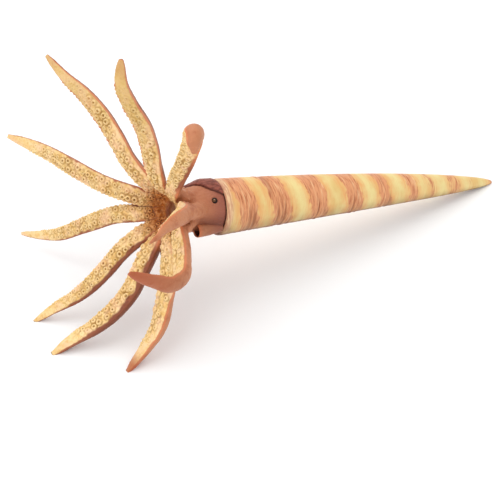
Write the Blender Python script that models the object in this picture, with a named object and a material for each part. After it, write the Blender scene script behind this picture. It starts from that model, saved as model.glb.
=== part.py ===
"""Figurine of a living orthocone nautiloid, at rest on a flat surface.

The long straight shell points to +X with its tip on the surface. The head looks out of the shell's
mouth towards -X, and its ten arms spread like the ribs of an umbrella. The figurine stands on the tip
of the shell and on the tips of the three lowest arms.

Everything is modelled along the shell's axis, in the frame of the empty "figure": X runs forward from
the tip of the shell to the head, Z is up, and an angle round the axis turns from Z towards Y, which is
the side that faces -Y once the empty lays the figurine on the surface. Lengths are in metres.
"""

import math

import bmesh
import bpy
from mathutils import Matrix, Vector

MM = 0.001

# --- how the figurine lies
PITCH = math.radians(14.6)  # the shell's axis rises this much towards the head
TIP_HEIGHT = 0.05 * MM  # the axis at the tip, above the surface
TIP_PLACE = (101.48 * MM, -8.97 * MM)  # the tip in x and y, with the whole figurine centred on the origin
GAP = 0.3 * MM  # between neighbouring pieces
CREASE_ANGLE = math.radians(40)

# --- shell: its radius follows a power of the distance from the tip
SHELL_LENGTH = 132.5 * MM
SHELL_RADIUS = 10.85 * MM
SHELL_POWER = 0.56
SHELL_BOW = 1.0 * MM  # rise of its middle above the straight line between its ends
SHELL_TIP_RISE = 0.15 * MM  # rise of its tip above the axis of the head
SHELL_SIDES = 28
SHELL_STATIONS = 13
SHELL_TIP_SHARE = 0.006  # the first ring, as a share of the length
SHELL_SPACING = 1.7  # a power, which puts the rings closer together towards the tip
LIP = ((0.8, 10.65), (1.3, 10.2), (1.2, 9.7))  # (forward of the shell's length, radius), turning in
MOUTH_DEPTH = 6.0 * MM

# --- head, as (distance from the shell's mouth, radius), from the neck in the shell to the mouth
HEAD_OUTLINE = (
    (-5.6, 9.0),
    (0.0, 9.35),
    (1.4, 9.4),
    (2.4, 9.7),
    (6.0, 9.5),
    (10.0, 8.8),
    (13.5, 8.0),
    (16.5, 7.3),
    (18.8, 6.2),
    (19.8, 4.8),
    (18.6, 3.2),
    (19.4, 1.6),
)
HEAD_SIDES = 24
DORSAL_ANGLE = math.radians(-52)  # the figurine lies rolled over, with its back up and away

# --- hood, a cap over the back of the head
HOOD_START = 1.7 * MM
HOOD_END = 14.8 * MM
# half of the angle that it covers, in degrees, by distance from the mouth in mm
HOOD_REACH = ((1.7, 78), (3, 73), (4.5, 67), (6, 60), (7.1, 52), (8, 40), (9.5, 23), (12, 15), (14.8, 7))
# its thickness along the middle, likewise in mm
HOOD_THICKNESS = ((1.7, 1.1), (4, 1.25), (6.5, 1.5), (9.3, 1.05), (13, 0.7), (14.8, 0.45))
HOOD_EDGE_THICKNESS = 0.35  # at its side edges, as a share of that
HOOD_STEPS_ALONG = 8
HOOD_STEPS_ROUND = 12

# --- funnel, a short tube under the head
FUNNEL_ANGLE = math.radians(112)
FUNNEL_RADIUS = 2.65 * MM
FUNNEL_BORE = 2.1 * MM
FUNNEL_START = 1.7 * MM
FUNNEL_END = 12.3 * MM
FUNNEL_OUT = (8.3 * MM, 9.5 * MM)  # its axis, from the head's axis, at its start and end
FUNNEL_BORE_DEPTH = 6.0 * MM
FUNNEL_NARROWING = 0.85  # of the tube and of its bore, towards their inner ends
FUNNEL_ROUNDING = 0.3 * MM  # of its outer edge
FUNNEL_GROOVE_LONGER = 2.0 * MM  # than the tube, at both ends
FUNNEL_SIDES = 14

# --- eyes
EYE_RADIUS = 1.3 * MM
EYE_ALONG = 5.6 * MM
EYE_OUT = 8.9 * MM
EYE_SIDES = 12
EYE_RINGS = 6

# --- arms: each one's route starts inside the head, and is a list of (forward, outward, aside) in
# millimetres from the middle of the crown, in the plane of the arm's own angle round the axis
CROWN_ALONG = SHELL_LENGTH + 23.5 * MM
ARM_COUNT = 10
ARM_STATIONS = 15
ARM_ROOM_START = 0.8 * MM  # from the axis to where the room for each arm starts
ARM_ROOT = ((-10, 4.6, 0), (-5.5, 6.2, 0))
ARMS = {
    # name: (angle round the axis, width in mm, roll of the inner face in degrees, route)
    "arm_1": (-19, 7.6, 25, ((0, 9.5, 0), (3.5, 17, 0.5), (7, 26, 3), (11, 34.5, 4.5), (16.5, 42, 5.5),
                             (21, 50, 6.6), (23, 59, 9.2))),
    "arm_2": (-55, 7.2, 8, ((0, 9, 0.4), (7.5, 20, 0.5), (11, 29.5, 1.2), (14.5, 39, 1), (20, 48, 1.2),
                            (26, 55.5, 0.8), (31, 64.5, -0.3))),
    "arm_3": (-91, 7.5, 12, ((0, 9, 0), (10.5, 18.5, -0.3), (16, 26.5, -0.7), (21.5, 34.5, 0),
                             (27, 42.5, 0.8), (33, 50.5, 0.8), (39, 58, 0.2))),
    "arm_4": (-127, 6.8, 0, ((0, 9, 0), (8, 19.5, 0.5), (12, 28.5, -1), (16.5, 37.5, -3), (21, 46.5, -5.1),
                             (25.5, 56, -4.8), (30.5, 65, -3.5))),
    "arm_5": (-163, 7.1, -10, ((0, 9, 0), (10, 18, -2.6), (15, 25, -4.9), (20.5, 32, -7.2),
                               (26, 38.5, -8.1), (33, 44.5, -8.2), (39.5, 51.4, -8.5))),
    "arm_6": (161, 8.0, -14, ((0, 9.5, 0), (7, 21, -1.2), (11.3, 29, -1.8), (17, 36, -1.3), (24, 42, 0),
                              (32, 47.5, 3), (39.5, 53, 5))),
    "arm_7": (125, 8.0, -13, ((-1, 9.5, 0), (1, 23, 2.6), (3.5, 32, 6), (6.5, 40.5, 9.5), (11.8, 47, 14),
                              (19, 53.8, 18.8))),
    "arm_8": (89, 8.4, -12, ((-2.5, 11, 0), (1, 22, 1.8), (3.4, 28, 3.2), (6.4, 34, 4.2), (12.7, 37.8, 4.3),
                             (19, 38, 2), (25, 39, -1), (31, 39.5, -4.5))),
    "arm_9": (53, 8.0, 0, ((-4.5, 12, 0.6), (-1, 17, 1.6), (3.5, 21.5, 2.9), (9, 25.5, 4.8),
                           (13.5, 28.5, 6.5), (17.5, 31, 8.6), (21.5, 32.8, 10.2))),
    "arm_10": (17, 7.6, 48, ((-2, 9.5, -0.5), (-1.2, 17.5, -1), (-1, 28.5, -1), (-0.5, 34, -1),
                             (0.1, 39, -1), (1, 42.5, -1), (2.5, 46, 0.5), (4, 47.5, 2.8),
                             (4.7, 47, 4.8), (4.5, 44.8, 6.2), (4, 42, 7))),
}
# each arm's width along its length, as (share of the length, share of the full width)
TAPERS = {
    "arm_1": ((0, 0.9), (0.25, 0.98), (0.55, 0.96), (0.68, 0.9), (0.8, 0.8), (0.9, 0.62), (0.96, 0.46),
              (1, 0.26)),
    "arm_2": ((0, 0.9), (0.25, 1.04), (0.6, 1.03), (0.7, 0.95), (0.8, 0.77), (0.9, 0.56), (0.96, 0.42),
              (1, 0.24)),
    "arm_3": ((0, 0.88), (0.25, 0.95), (0.4, 0.89), (0.6, 0.88), (0.7, 0.77), (0.82, 0.67), (0.92, 0.5),
              (1, 0.22)),
    "arm_4": ((0, 0.9), (0.25, 1), (0.5, 0.97), (0.66, 0.81), (0.78, 0.65), (0.89, 0.48), (0.96, 0.34),
              (1, 0.18)),
    "arm_5": ((0, 0.9), (0.25, 1), (0.5, 0.97), (0.62, 0.9), (0.8, 0.65), (0.92, 0.45), (1, 0.2)),
    "arm_6": ((0, 0.9), (0.25, 1), (0.5, 1), (0.66, 0.93), (0.78, 0.78), (0.86, 0.68), (0.94, 0.5),
              (1, 0.25)),
    "arm_7": ((0, 0.9), (0.25, 1), (0.62, 1.01), (0.75, 0.85), (0.85, 0.68), (0.94, 0.5), (1, 0.24)),
    "arm_8": ((0, 0.9), (0.25, 1), (0.5, 1), (0.62, 0.92), (0.75, 0.72), (0.88, 0.54), (0.95, 0.4), (1, 0.2)),
    "arm_9": ((0, 0.85), (0.25, 0.95), (0.4, 0.92), (0.55, 0.74), (0.75, 0.47), (0.88, 0.3), (1, 0.12)),
    "arm_10": ((0, 0.85), (0.4, 0.85), (0.6, 0.91), (0.72, 0.99), (0.84, 1), (0.93, 0.72), (1, 0.25)),
}
ARM_BACK = 0.56  # depth behind the flat inner face, as a share of the width
ARM_CROWNING = 0.08  # rise of the inner face's middle, as a share of the width
ARM_BACK_POINTS = 5
ARM_FACE = 0.22  # the inner face, in front of the route, as a share of the width
ROLL_SHARE = 0.4  # the roll is complete at this share of the length
FRAME_STEPS = 240

# --- suckers: two staggered rows of low cups on each arm's inner face
SUCKER_PAIRS = 9
SUCKER_FIRST = 0.26
SUCKER_LAST = 0.86
SUCKER_ROW = 0.24  # off the middle, as a share of the width there
SUCKER_FOOT_RADIUS = 0.17
SUCKER_RIM_RADIUS = 0.135
SUCKER_SUNK = 0.08
SUCKER_HEIGHT = 0.07
SUCKER_DISH = 0.05
SUCKER_SIDES = 6

MATERIALS = {
    "shell": ((0.86, 0.62, 0.36), 0.45),
    "skin": ((0.60, 0.24, 0.13), 0.5),
    "hood": ((0.30, 0.11, 0.08), 0.5),
    "arm": ((0.82, 0.60, 0.30), 0.5),
    "eye": ((0.01, 0.008, 0.006), 0.15),
}


def clear_scene():
    for item in list(bpy.data.objects):
        bpy.data.objects.remove(item)


def material(name):
    colour, roughness = MATERIALS[name]
    made = bpy.data.materials.new(name)
    made.use_nodes = True
    shader = made.node_tree.nodes["Principled BSDF"]
    shader.inputs["Base Color"].default_value = (*colour, 1)
    shader.inputs["Roughness"].default_value = roughness
    shader.inputs["Metallic"].default_value = 0
    made.diffuse_color = (*colour, 1)
    return made


def add_object(name, mesh, parent, surface=None, cutter=False):
    """An object of the figurine, or a cutter or other helper that the model leaves out."""
    item = bpy.data.objects.new(name, mesh)
    bpy.context.scene.collection.objects.link(item)
    item.parent = parent
    if surface:
        mesh.materials.append(surface)
    if cutter:
        item.hide_render = True
        item.display_type = "WIRE"
    return item


def skin_rings(bm, rings):
    """Quads between rings of points that have one length, each end closed on the middle of its ring."""
    rows = [[bm.verts.new(point) for point in ring] for ring in rings]
    count = len(rows[0])
    for row, following in zip(rows, rows[1:]):
        for i in range(count):
            j = (i + 1) % count
            bm.faces.new((row[i], row[j], following[j], following[i]))
    for row, turned in ((rows[0], True), (rows[-1], False)):
        middle = bm.verts.new(sum((vert.co for vert in row), Vector()) / count)
        for i in range(count):
            corner, other = row[i], row[(i + 1) % count]
            bm.faces.new((other, corner, middle) if turned else (corner, other, middle))


def finished_mesh(name, bm):
    bmesh.ops.recalc_face_normals(bm, faces=bm.faces)
    mesh = bpy.data.meshes.new(name)
    bm.to_mesh(mesh)
    bm.free()
    mesh.shade_smooth()
    mesh.set_sharp_from_angle(angle=CREASE_ANGLE)
    return mesh


def mesh_of_rings(name, rings):
    bm = bmesh.new()
    skin_rings(bm, rings)
    return finished_mesh(name, bm)


def round_axis(along, out, angle):
    """The point at a distance along the axis, and out from it at an angle round it."""
    return Vector((along, out * math.sin(angle), out * math.cos(angle)))


def turned_rings(outline, sides):
    """Rings round the axis for an outline of (distance along, radius)."""
    return [
        [round_axis(along, radius, math.tau * i / sides) for i in range(sides)] for along, radius in outline
    ]


def smooth_curve(points, parameter):
    """A point of the Catmull-Rom curve through the points, at a parameter that counts them."""
    index = min(int(parameter), len(points) - 2)
    share = parameter - index
    before = points[index - 1] if index else 2 * points[0] - points[1]
    start, end = points[index], points[index + 1]
    after = points[index + 2] if index + 2 < len(points) else 2 * end - start
    return (
        start
        + (end - before) * (share / 2)
        + (2 * before - 5 * start + 4 * end - after) * (share**2 / 2)
        + (3 * start - before - 3 * end + after) * (share**3 / 2)
    )


def even_stations(points, count, fine=40):
    """Points of the smooth curve, evenly spaced along its length, from its start to its end."""
    steps = (len(points) - 1) * fine
    dense = [smooth_curve(points, i / fine) for i in range(steps + 1)]
    lengths = [0.0]
    for start, end in zip(dense, dense[1:]):
        lengths.append(lengths[-1] + (end - start).length)
    found = []
    index = 0
    for i in range(count + 1):
        wanted = lengths[-1] * i / count
        while index < steps - 1 and lengths[index + 1] < wanted:
            index += 1
        share = (wanted - lengths[index]) / (lengths[index + 1] - lengths[index])
        found.append(dense[index].lerp(dense[index + 1], share))
    return found


def between(table, share):
    """The value at a place, straight between the entries of a table of (place, value)."""
    for (low, first), (high, second) in zip(table, table[1:]):
        if share <= high:
            return first + (second - first) * (share - low) / (high - low)
    return table[-1][1]


def shell_radius(along):
    return SHELL_RADIUS * (max(along, 0) / SHELL_LENGTH) ** SHELL_POWER


def shell_rise(along):
    """How far the shell's middle lies above the axis of the head."""
    share = min(along / SHELL_LENGTH, 1)
    return SHELL_TIP_RISE * (1 - share) + SHELL_BOW * 4 * share * (1 - share)


def rest_on_surface(mesh, placing):
    """Raises what would lie below the surface onto it, which leaves small flat feet."""
    lift = placing.inverted()
    for vert in mesh.vertices:
        place = placing @ vert.co
        if place.z < 0:
            place.z = 0
            vert.co = lift @ place


def make_shell(figure):
    outline = []
    for i in range(SHELL_STATIONS + 1):
        share = SHELL_TIP_SHARE + (1 - SHELL_TIP_SHARE) * (i / SHELL_STATIONS) ** SHELL_SPACING
        outline.append((SHELL_LENGTH * share, shell_radius(SHELL_LENGTH * share)))
    outline += [(SHELL_LENGTH + along * MM, radius * MM) for along, radius in LIP]
    outline.append((SHELL_LENGTH - MOUTH_DEPTH, LIP[-1][1] * MM))
    mesh = mesh_of_rings("shell", turned_rings(outline, SHELL_SIDES))
    for vert in mesh.vertices:
        vert.co.z += shell_rise(vert.co.x)
    rest_on_surface(mesh, figure.matrix_world)
    return add_object("shell", mesh, figure, material("shell"))


def head_outline(grown=0.0):
    return [(SHELL_LENGTH + along * MM, radius * MM + grown) for along, radius in HEAD_OUTLINE]


def head_radius(along):
    """Radius of the head at a distance from the shell's mouth, in its round stretch."""
    return between(HEAD_OUTLINE, along / MM) * MM


def make_head(figure, funnel_path):
    mesh = mesh_of_rings("head", turned_rings(head_outline(), HEAD_SIDES))
    head = add_object("head", mesh, figure, material("skin"))
    groove_mesh = funnel_tube("funnel_groove", funnel_path, FUNNEL_RADIUS + GAP, FUNNEL_GROOVE_LONGER)
    cut(head, add_object("funnel_groove", groove_mesh, figure, cutter=True))
    for side in (1, -1):
        socket = add_object("eye_socket", eye_ball("eye_socket", EYE_RADIUS + GAP), figure, cutter=True)
        socket.location = eye_place(side)
        cut(head, socket)
    return head


def cut(item, cutter):
    added = item.modifiers.new("cut " + cutter.name, "BOOLEAN")
    added.operation = "DIFFERENCE"
    added.solver = "EXACT"
    added.object = cutter


def join(item, other):
    added = item.modifiers.new("join " + other.name, "BOOLEAN")
    added.operation = "UNION"
    added.solver = "EXACT"
    added.object = other


def make_hood(figure):
    """A cap that bulges over the head, narrows towards the front and thins out towards its edges."""
    upper, lower = [], []
    for i in range(HOOD_STEPS_ALONG + 1):
        along = HOOD_START + (HOOD_END - HOOD_START) * i / HOOD_STEPS_ALONG
        reach = math.radians(between(HOOD_REACH, along / MM))
        inner = head_radius(along) + GAP
        middle = between(HOOD_THICKNESS, along / MM) * MM
        over, under = [], []
        for j in range(HOOD_STEPS_ROUND + 1):
            across = 2 * j / HOOD_STEPS_ROUND - 1
            rise = middle * (1 - (1 - HOOD_EDGE_THICKNESS) * across**4)
            angle = DORSAL_ANGLE + reach * across
            over.append(round_axis(SHELL_LENGTH + along, inner + rise, angle))
            under.append(round_axis(SHELL_LENGTH + along, inner, angle))
        upper.append(over)
        lower.append(under)
    rings = [over + under[::-1] for over, under in zip(upper, lower)]
    return add_object("hood", hood_mesh(rings), figure, material("hood"))


def hood_mesh(rings):
    """Quads along and across the cap, its two ends closed by strips."""
    bm = bmesh.new()
    rows = [[bm.verts.new(point) for point in ring] for ring in rings]
    count = len(rows[0])
    for row, following in zip(rows, rows[1:]):
        for i in range(count):
            j = (i + 1) % count
            bm.faces.new((row[i], row[j], following[j], following[i]))
    for row in (rows[0], rows[-1]):
        for i in range(count // 2 - 1):
            bm.faces.new((row[i], row[i + 1], row[count - 2 - i], row[count - 1 - i]))
    return finished_mesh("hood", bm)


def funnel_axis():
    """Start and end of the funnel's axis, in the underside of the head."""
    return (
        round_axis(SHELL_LENGTH + FUNNEL_START, FUNNEL_OUT[0], FUNNEL_ANGLE),
        round_axis(SHELL_LENGTH + FUNNEL_END, FUNNEL_OUT[1], FUNNEL_ANGLE),
    )


def tube_rings(start, end, outline, sides):
    """Rings round the line from start to end, for an outline of (distance from the start, radius)."""
    turn = (end - start).to_track_quat("Z", "Y").to_matrix()
    rings = []
    for along, radius in outline:
        ring = []
        for i in range(sides):
            angle = math.tau * i / sides
            ring.append(start + turn @ Vector((radius * math.cos(angle), radius * math.sin(angle), along)))
        rings.append(ring)
    return rings


def funnel_tube(name, path, radius, longer):
    start, end = path
    length = (end - start).length
    outline = ((-longer, radius), (length + longer, radius))
    return mesh_of_rings(name, tube_rings(start, end, outline, FUNNEL_SIDES))


def make_funnel(figure, path):
    start, end = path
    length = (end - start).length
    outline = (
        (0, FUNNEL_RADIUS * FUNNEL_NARROWING),
        (length / 2, FUNNEL_RADIUS),
        (length - FUNNEL_ROUNDING, FUNNEL_RADIUS),
        (length, FUNNEL_RADIUS - FUNNEL_ROUNDING),
        (length, FUNNEL_BORE),
        (length - FUNNEL_BORE_DEPTH, FUNNEL_BORE * FUNNEL_NARROWING),
    )
    mesh = mesh_of_rings("funnel", tube_rings(start, end, outline, FUNNEL_SIDES))
    return add_object("funnel", mesh, figure, material("skin"))


def eye_ball(name, radius):
    bm = bmesh.new()
    bmesh.ops.create_uvsphere(bm, u_segments=EYE_SIDES, v_segments=EYE_RINGS, radius=radius)
    return finished_mesh(name, bm)


def eye_place(side):
    return round_axis(SHELL_LENGTH + EYE_ALONG, EYE_OUT, DORSAL_ANGLE + side * math.pi / 2)


def make_eyes(figure):
    dark = material("eye")
    for name, side in (("eye_left", 1), ("eye_right", -1)):
        eye = add_object(name, eye_ball(name, EYE_RADIUS), figure, dark)
        eye.location = eye_place(side)


def arm_frames(route, roll):
    """Place, way along, side and inner direction at even steps along the arm, carried without twist."""
    points = [Vector((forward, aside, outward)) * MM for forward, outward, aside in ARM_ROOT + route]
    places = even_stations(points, FRAME_STEPS)
    frames = []
    side = Vector((0, 1, 0))
    for i, place in enumerate(places):
        way = (places[min(i + 1, FRAME_STEPS)] - places[max(i - 1, 0)]).normalized()
        side = (side - way * side.dot(way)).normalized()
        turned = math.radians(roll) * min(i / FRAME_STEPS / ROLL_SHARE, 1)
        rolled = Matrix.Rotation(turned, 3, way) @ side
        frames.append((place, way, rolled, rolled.cross(way)))
    return frames


def frame_at(frames, share):
    return frames[round(share * FRAME_STEPS)]


def arm_width(name, share, out):
    """The arm's width, which near the root leaves room for its neighbours."""
    full = ARMS[name][1] * MM * between(TAPERS[name], share)
    room = 2 * (out - ARM_ROOM_START) * math.tan(math.pi / ARM_COUNT) - GAP
    return min(full, room)


def arm_section(frame, width):
    """A ring with a nearly flat inner face and a round back, about the middle of its depth."""
    place, _, side, inner = frame
    face = place + inner * width * ARM_FACE
    half = width / 2
    ring = [face - side * half, face + inner * width * ARM_CROWNING, face + side * half]
    for i in range(1, ARM_BACK_POINTS + 1):
        angle = math.pi * i / (ARM_BACK_POINTS + 1)
        ring.append(face + side * half * math.cos(angle) - inner * width * ARM_BACK * math.sin(angle))
    return ring


def sucker(bm, frame, row, width):
    """A six-sided cup with a dished top, sunk into the arm's face at a distance off its middle."""
    place, way, side, inner = frame
    rise = ARM_FACE + ARM_CROWNING * (1 - 2 * abs(row))
    foot = place + (side * row + inner * rise) * width
    rings = []
    for radius, height in ((SUCKER_FOOT_RADIUS, -SUCKER_SUNK), (SUCKER_RIM_RADIUS, SUCKER_HEIGHT)):
        ring = []
        for i in range(SUCKER_SIDES):
            angle = math.tau * i / SUCKER_SIDES
            spread = way * math.cos(angle) + side * math.sin(angle)
            ring.append(foot + (spread * radius + inner * height) * width)
        rings.append(ring)
    skin_rings(bm, rings)
    bm.verts.ensure_lookup_table()
    bm.verts[-1].co -= inner * width * SUCKER_DISH


def make_arm(figure, name, clearance, surface):
    angle, _, roll, route = ARMS[name]
    arm_place = Matrix.Translation((CROWN_ALONG, 0, 0)) @ Matrix.Rotation(-math.radians(angle), 4, "X")
    frames = arm_frames(route, roll)
    rings = []
    for i in range(ARM_STATIONS + 1):
        share = i / ARM_STATIONS
        frame = frame_at(frames, share)
        rings.append(arm_section(frame, arm_width(name, share, frame[0].z)))
    mesh = mesh_of_rings(name, rings)
    rest_on_surface(mesh, figure.matrix_world @ arm_place)
    arm = add_object(name, mesh, figure, surface)
    arm.matrix_local = arm_place

    bm = bmesh.new()
    for i in range(2 * SUCKER_PAIRS):
        share = SUCKER_FIRST + (SUCKER_LAST - SUCKER_FIRST) * i / (2 * SUCKER_PAIRS - 1)
        frame = frame_at(frames, share)
        sucker(bm, frame, SUCKER_ROW if i % 2 else -SUCKER_ROW, arm_width(name, share, frame[0].z))
    suckers = add_object("suckers_" + name, finished_mesh("suckers_" + name, bm), figure, cutter=True)
    suckers.matrix_local = arm_place
    join(arm, suckers)
    cut(arm, clearance)


def main():
    clear_scene()
    figure = bpy.data.objects.new("figure", None)
    bpy.context.scene.collection.objects.link(figure)
    figure.location = (*TIP_PLACE, TIP_HEIGHT)
    figure.rotation_euler = (0, -PITCH, math.pi)
    bpy.context.view_layer.update()

    make_shell(figure)
    funnel_path = funnel_axis()
    make_head(figure, funnel_path)
    make_hood(figure)
    make_funnel(figure, funnel_path)
    make_eyes(figure)
    clearance_mesh = mesh_of_rings("arm_clearance", turned_rings(head_outline(GAP), HEAD_SIDES))
    clearance = add_object("arm_clearance", clearance_mesh, figure, cutter=True)
    surface = material("arm")
    for name in ARMS:
        make_arm(figure, name, clearance, surface)
    bpy.context.view_layer.update()


main()
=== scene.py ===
"""Looks of the orthocone nautiloid figurine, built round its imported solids.

The animal is one smooth skin: its head and arms are drawn as tubes, fused and smoothed, given suckers,
warts and paint by formula, and then cut into the pieces that stand for the CAD nodes. Lengths are in
millimetres. Shapes are drawn in the frame of the figure (X forward from the tip of the shell, Z up,
angles round the axis from Z towards Y) and then laid in the part's frame, which the CAD nodes share.
"""

import math

import bpy
import numpy as np
from mathutils import Euler, Matrix, Vector


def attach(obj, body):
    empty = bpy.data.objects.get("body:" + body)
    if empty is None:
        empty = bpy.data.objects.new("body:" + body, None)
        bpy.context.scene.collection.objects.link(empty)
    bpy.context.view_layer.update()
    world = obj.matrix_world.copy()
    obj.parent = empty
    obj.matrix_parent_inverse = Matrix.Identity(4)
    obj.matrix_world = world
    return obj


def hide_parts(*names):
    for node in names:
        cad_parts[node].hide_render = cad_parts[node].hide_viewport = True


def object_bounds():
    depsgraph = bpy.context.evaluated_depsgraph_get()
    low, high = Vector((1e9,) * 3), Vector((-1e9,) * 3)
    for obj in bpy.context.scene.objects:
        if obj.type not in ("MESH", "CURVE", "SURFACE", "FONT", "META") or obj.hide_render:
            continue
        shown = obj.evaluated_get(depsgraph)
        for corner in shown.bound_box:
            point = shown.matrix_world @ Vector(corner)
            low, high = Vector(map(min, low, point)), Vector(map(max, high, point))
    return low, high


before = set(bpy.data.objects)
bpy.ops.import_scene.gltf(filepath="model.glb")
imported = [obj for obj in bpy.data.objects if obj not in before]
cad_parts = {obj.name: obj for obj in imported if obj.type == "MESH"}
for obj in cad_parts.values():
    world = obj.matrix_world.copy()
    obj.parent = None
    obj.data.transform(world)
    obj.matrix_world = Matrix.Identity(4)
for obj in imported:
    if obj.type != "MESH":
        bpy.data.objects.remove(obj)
cad_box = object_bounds()

MM = 0.001

# --- how the figurine lies, as in the solids
PITCH = math.radians(14.6)
TIP = (101.48, -8.97, 0.05)

# --- shell
SHELL_LENGTH = 132.5
SHELL_RADIUS = 10.85
SHELL_POWER = 0.56  # the radius follows this power of the distance from the tip
SHELL_BOW = 1.0  # rise of its middle above the straight line between its ends
SHELL_TIP_RISE = 0.15  # rise of its tip above the axis of the head
SHELL_START, SHELL_START_RADIUS = 0.8, 0.22
SHELL_SIDES = 184
SHELL_STATIONS = 470
SHELL_SPACING = 1.05  # a power, which puts the stations closer together towards the tip
# (forward of the shell's length, radius), turning in
LIP = ((0.35, 10.83), (0.75, 10.72), (1.08, 10.46), (1.28, 10.12), (1.28, 9.84), (1.15, 9.7), (0.9, 9.66))
MOUTH_DEPTH, MOUTH_RINGS = 5.8, 7
SIDE_SHOWN = math.radians(53)  # the way to the side that shows, round the axis
# the painted bands at the middle of the side that shows, as (from, to, strength), from the tip
BANDS = (
    (-1.0, 2.4, 0.95), (12.2, 14.4, 0.35), (20.4, 25.8, 0.75), (34.2, 37.4, 0.6), (43.4, 48.4, 0.9),
    (57.6, 63.4, 0.95), (72.2, 79.6, 0.95), (89.0, 97.2, 1.0), (106.0, 114.6, 0.95), (120.8, 129.2, 1.0),
)
BAND_LEAN = 0.27  # how far forward a band moves for each millimetre across it
BAND_LEAN_ANGLE = math.radians(-37)  # the way across it, round the axis
BAND_EDGE, BAND_HALO = 0.9, 2.6  # how soft its ends are, and how far the orange round it reaches
RIDGE_LEAN = 0.08  # as BAND_LEAN, for the growth lines
# where the growth lines are cut deeper, as (from the tip, half width, whether on the lower side only)
CUTS = ((123.2, 2.6, 1), (110.2, 4.6, 0), (92.6, 2.6, 1), (76, 2.5, 1), (60, 2, 1))

# --- head, as (forward of the shell's length, radius), from the neck in the shell to the mouth
HEAD_OUTLINE = (
    (-5.6, 9.0), (0.0, 9.35), (1.4, 9.42), (2.4, 9.7), (4.0, 9.68), (6.0, 9.5), (8.0, 9.2), (10.0, 8.8),
    (12.0, 8.35), (13.5, 8.0), (16.5, 7.3), (17.8, 6.8), (18.8, 6.2), (19.6, 5.4), (19.8, 4.8),
    (19.3, 3.8), (18.6, 3.2), (18.7, 2.4), (19.4, 1.6), (19.7, 0.8),
)
HEAD_RADIUS = 9.3  # about the middle one, which turns angles into millimetres
HEAD_SIDES = 72
DORSAL = math.radians(-52)  # the way to the animal's back, round the axis
HOOD_START, HOOD_END = 1.4, 14.8
# the hood's half width in degrees and its thickness, each by the distance forward
HOOD_REACH = ((1.7, 78), (3, 73), (4.5, 67), (6, 60), (7.1, 52), (8, 40), (9.5, 23), (12, 15), (14.8, 7))
HOOD_THICKNESS = ((1.7, 1.1), (4, 1.25), (6.5, 1.5), (9.3, 1.05), (13, 0.7), (14.8, 0.45))
HOOD_ROWS, HOOD_COLUMNS = 110, 220
HOOD_RISE, HOOD_SUNK, HOOD_UNDERSIDE = 0.2, 0.35, 0.9  # the last two are depths below the head's surface
HOOD_ROUNDING, HOOD_WRINKLES = 0.05, 0.34
FUNNEL_ANGLE = math.radians(112)
FUNNEL_RADIUS, FUNNEL_BORE, FUNNEL_START, FUNNEL_END = 2.65, 2.2, 1.7, 12.3
FUNNEL_OUT = (8.3, 9.5)  # the middle of its ends, off the axis
FUNNEL_LIP, FUNNEL_INNER_LIP, FUNNEL_WALL = 0.7, 0.3, 0.35
FUNNEL_DEPTH, FUNNEL_BORE_RINGS, FUNNEL_SIDES = 5.6, 16, 72
EYE_RADIUS, EYE_ALONG, EYE_OUT = 1.3, 5.6, 8.9
EYE_TURN = 0.5  # how far forward its painted rings look, for each unit out
EYE_FLATNESS, EYE_RINGS, EYE_SIDES = 0.96, 40, 64
LIDS = ((1.75, 0.3, 1), (2.6, 0.28, 0.5))  # (distance from the eye, width, share of the rise)

# --- arms
CROWN_ALONG = SHELL_LENGTH + 23.5
ARM_COUNT = 10
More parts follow.
